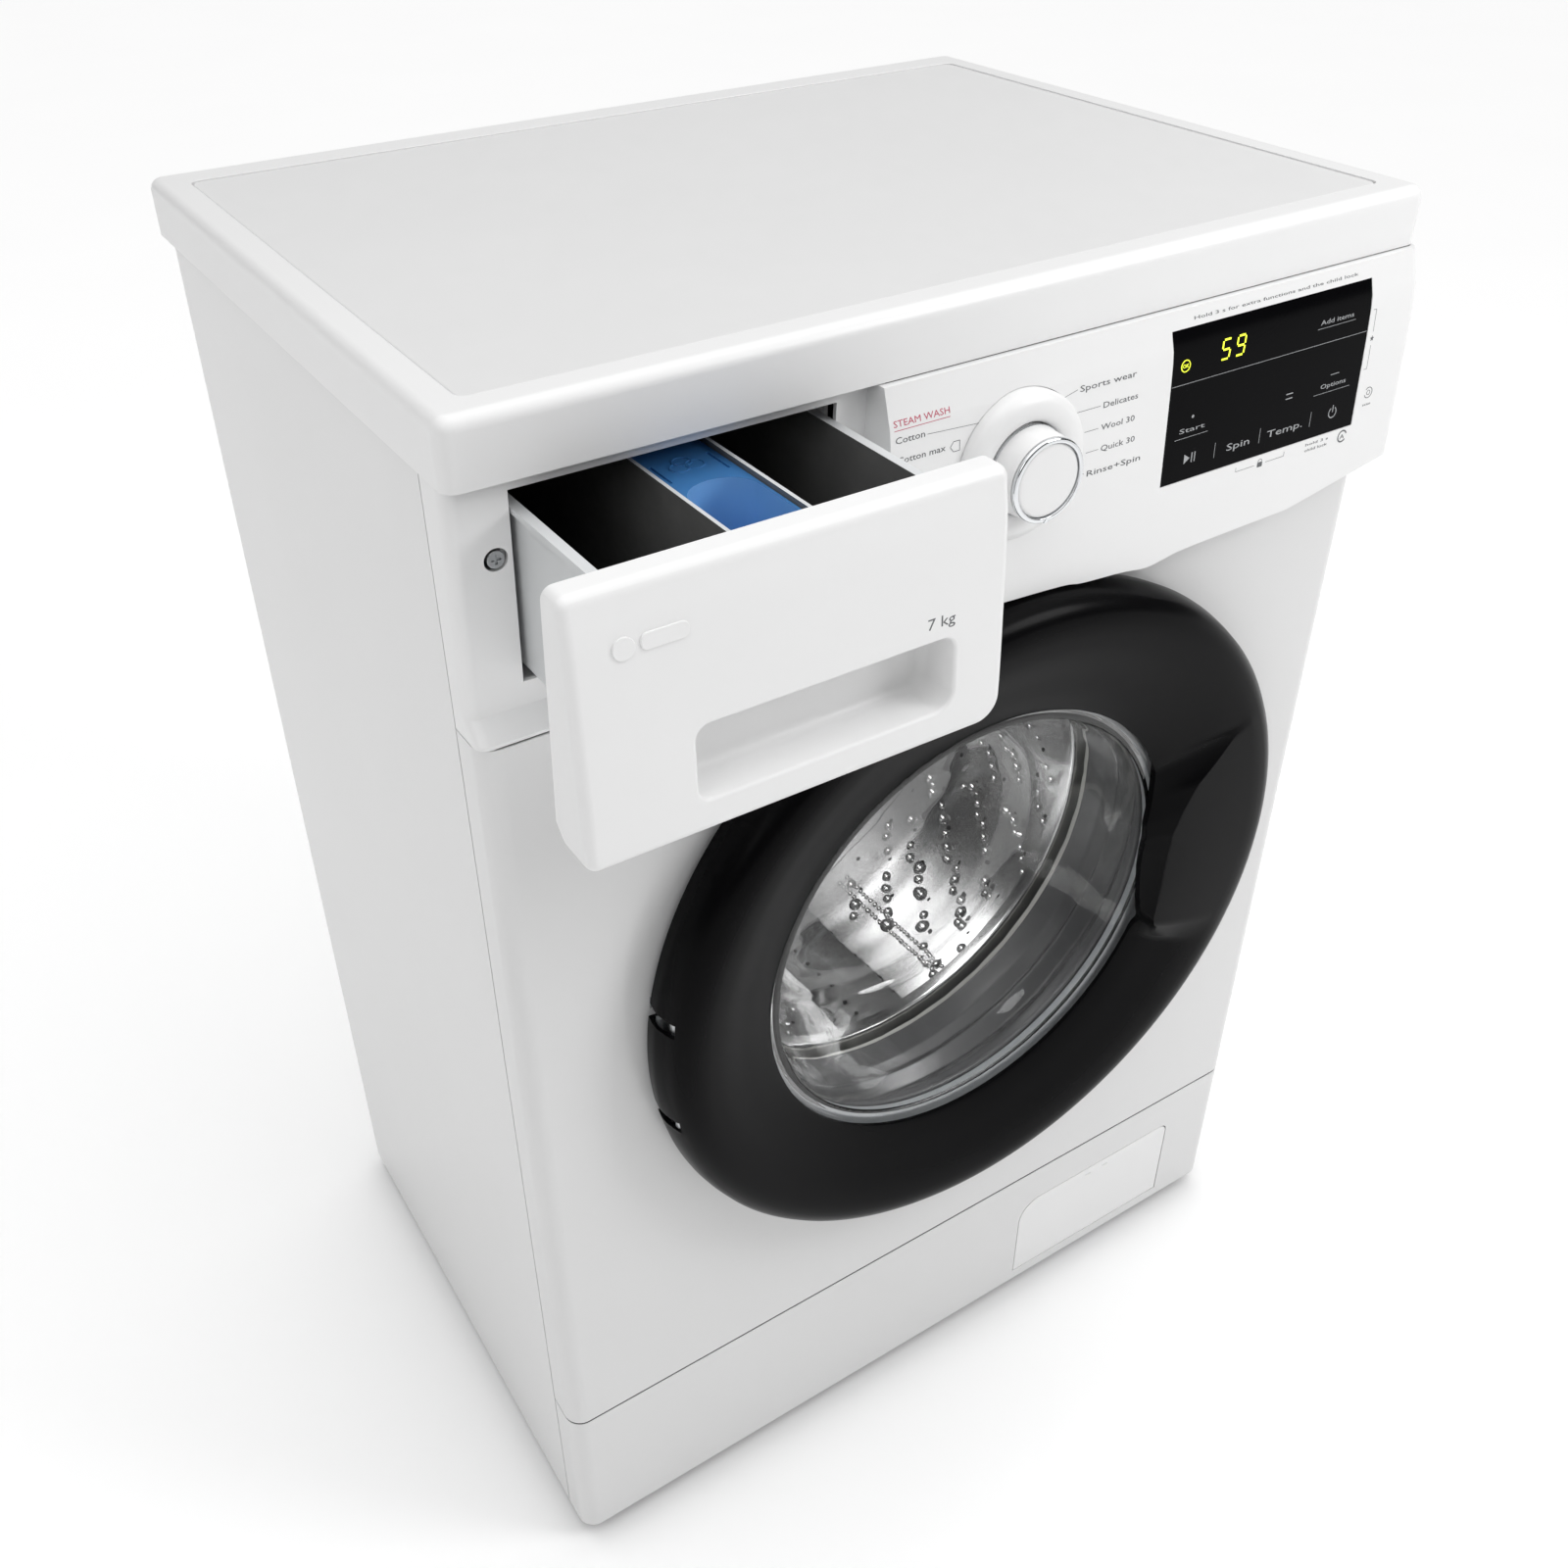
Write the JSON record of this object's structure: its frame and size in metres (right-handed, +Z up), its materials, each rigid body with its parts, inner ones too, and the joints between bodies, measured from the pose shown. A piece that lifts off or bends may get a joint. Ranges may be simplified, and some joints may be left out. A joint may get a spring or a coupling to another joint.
{
  "type": "front load washing machine",
  "caption": "Free-standing front load washing machine with a round glass door, a control panel with knob and display, and a dispenser drawer pulled part way out.",
  "frame": {"origin": "on the floor under the middle of the bounding box at rest, with the drawer pulled out 92 mm", "axes": "+X to the right seen from the front, +Y from the front to the back, +Z up"},
  "size_m": [0.6, 0.545, 0.85],
  "materials": {
    "enamel": "gloss",
    "white_plastic": "gloss",
    "grey_plastic": "satin",
    "laminate": "fine textured laminate",
    "black_plastic": "gloss",
    "display_black": "gloss",
    "clear_glass": "clear",
    "blue_plastic": "satin",
    "tray_plastic": "satin",
    "rubber": "matte",
    "stainless": "polished",
    "steel": "satin",
    "chrome": "mirror",
    "aluminium": "cast",
    "cast_iron": "rough",
    "winding": "lacquered",
    "tub_plastic": "moulded",
    "circuit_board": "solder mask"
  },
  "bodies": {
    "cabinet": {"cabinet_wrap": "enamel", "front_panel": "enamel", "kick_plate": "enamel", "control_panel": "white_plastic", "display_window": "display_black", "knob_bezel": "white_plastic", "control_board": "circuit_board", "top_frame": "white_plastic", "top_board": "laminate", "rear_cover": "enamel", "inlet_valve": "white_plastic", "drain_outlet": "grey_plastic", "cord_gland": "rubber", "base_tray": "grey_plastic", "hinge_bracket": "steel", "door_lock": "grey_plastic", "gasket": "rubber", "gasket_clamp": "steel", "damper_sleeve_left": "grey_plastic", "damper_sleeve_right": "grey_plastic", "dispenser_box": "white_plastic", "dispenser_hose": "rubber", "drain_hose": "rubber", "drain_pump": "grey_plastic"},
    "foot_front_left": {"foot_front_left": "rubber"},
    "foot_front_right": {"foot_front_right": "rubber"},
    "foot_back_left": {"foot_back_left": "rubber"},
    "foot_back_right": {"foot_back_right": "rubber"},
    "flap": {"service_flap": "white_plastic"},
    "filter": {"filter_cap": "blue_plastic"},
    "knob": {"program_knob": "white_plastic", "knob_trim": "chrome"},
    "tub": {"tub_front": "tub_plastic", "tub_rear": "tub_plastic", "counterweight_front": "cast_iron", "counterweight_top": "cast_iron", "bearing_front": "steel", "bearing_rear": "steel", "stator": "winding", "heater": "steel", "damper_rod_left": "steel", "damper_rod_right": "steel", "spring_left": "steel", "spring_right": "steel"},
    "drum": {"drum_shell": "stainless", "drum_back": "stainless", "drum_spider": "aluminium", "drum_shaft": "steel", "rotor": "steel", "lifter_1": "stainless", "lifter_2": "stainless", "lifter_3": "stainless"},
    "door": {"door_ring": "black_plastic", "door_glass": "clear_glass", "door_inner_ring": "grey_plastic", "door_hinge": "steel"},
    "hook": {"door_hook": "steel"},
    "drawer": {"drawer_front": "white_plastic", "drawer_tray": "tray_plastic", "softener_cup": "blue_plastic"}
  },
  "joints": [
    {"name": "drawer_slide", "type": "slide", "parent": "cabinet", "child": "drawer", "axis": [0, -1, 0], "range_m": [-0.092, 0.108]},
    {"name": "door_swing", "type": "hinge", "parent": "cabinet", "child": "door", "pos_m": [-0.2165, -0.184, 0.448], "axis": [0, 0, -1], "range_deg": [0, 120]},
    {"name": "hook_lift", "type": "hinge", "parent": "door", "child": "hook", "pos_m": [0.198, -0.1695, 0.448], "axis": [1, 0, 0], "range_deg": [0, 10], "stiffness_Nm_per_rad": 0.05},
    {"name": "knob_turn", "type": "hinge", "parent": "cabinet", "child": "knob", "pos_m": [0, -0.202, 0.76], "axis": [0, -1, 0], "continuous": true},
    {"name": "tub_bounce", "type": "slide", "parent": "cabinet", "child": "tub", "axis": [0, 0, 1], "range_m": [-0.008, 0.008], "stiffness_N_per_m": 12000, "springref_m": 0.0372, "deforming": ["spring_left", "spring_right", "gasket", "dispenser_hose", "drain_hose"]},
    {"name": "drum_spin", "type": "hinge", "parent": "tub", "child": "drum", "pos_m": [0, 0.0325, 0.448], "axis": [0, -1, 0], "continuous": true},
    {"name": "flap_hinge", "type": "hinge", "parent": "cabinet", "child": "flap", "pos_m": [0.16525, -0.1611, 0.0275], "axis": [1, 0, 0], "range_deg": [0, 85]},
    {"name": "filter_turn", "type": "hinge", "parent": "cabinet", "child": "filter", "pos_m": [0.165, -0.1475, 0.072], "axis": [0, -1, 0], "range_deg": [0, 180]},
    {"name": "foot_screw_front_left", "type": "slide", "parent": "cabinet", "child": "foot_front_left", "axis": [0, 0, 1], "range_m": [-0.012, 0]},
    {"name": "foot_screw_front_right", "type": "slide", "parent": "cabinet", "child": "foot_front_right", "axis": [0, 0, 1], "range_m": [-0.012, 0]},
    {"name": "foot_screw_back_left", "type": "slide", "parent": "cabinet", "child": "foot_back_left", "axis": [0, 0, 1], "range_m": [-0.012, 0]},
    {"name": "foot_screw_back_right", "type": "slide", "parent": "cabinet", "child": "foot_back_right", "axis": [0, 0, 1], "range_m": [-0.012, 0]}
  ]
}
